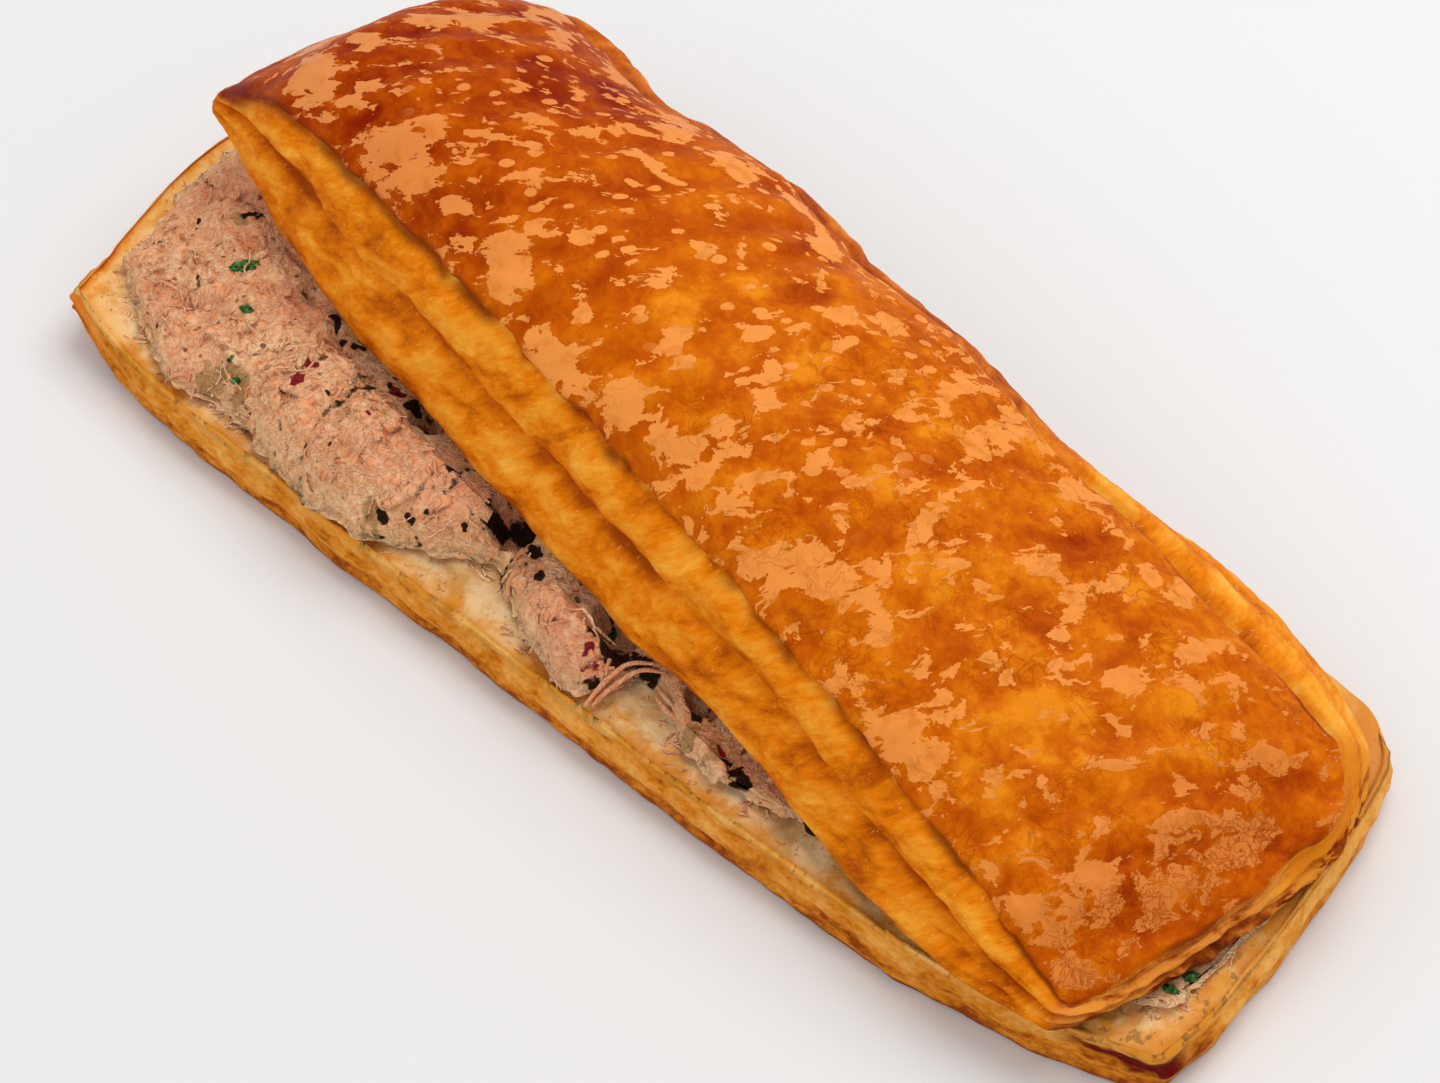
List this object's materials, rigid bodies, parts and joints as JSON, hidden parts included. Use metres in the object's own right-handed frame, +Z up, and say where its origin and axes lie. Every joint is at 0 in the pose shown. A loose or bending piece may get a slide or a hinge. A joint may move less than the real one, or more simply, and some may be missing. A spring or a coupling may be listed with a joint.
{
  "type": "tuna pie",
  "caption": "Long puff pastry pie: a flat bottom slab, a shredded tuna filling showing along one side, and a puffed glazed lid set askew on top.",
  "frame": {"origin": "middle of the underside's bounding box, on the surface that the pie lies on", "axes": "+X along the pie towards the end where the lid meets the bottom pastry, +Y towards the side that the lid covers, +Z up"},
  "size_m": [0.1702, 0.077, 0.0372],
  "materials": {
    "pastry": "matte",
    "glazed_crust": "gloss",
    "tuna": "satin"
  },
  "bodies": {
    "root": {"bottom_pastry": "pastry", "top_pastry": "glazed_crust", "tuna_filling": "tuna"}
  },
  "joints": []
}
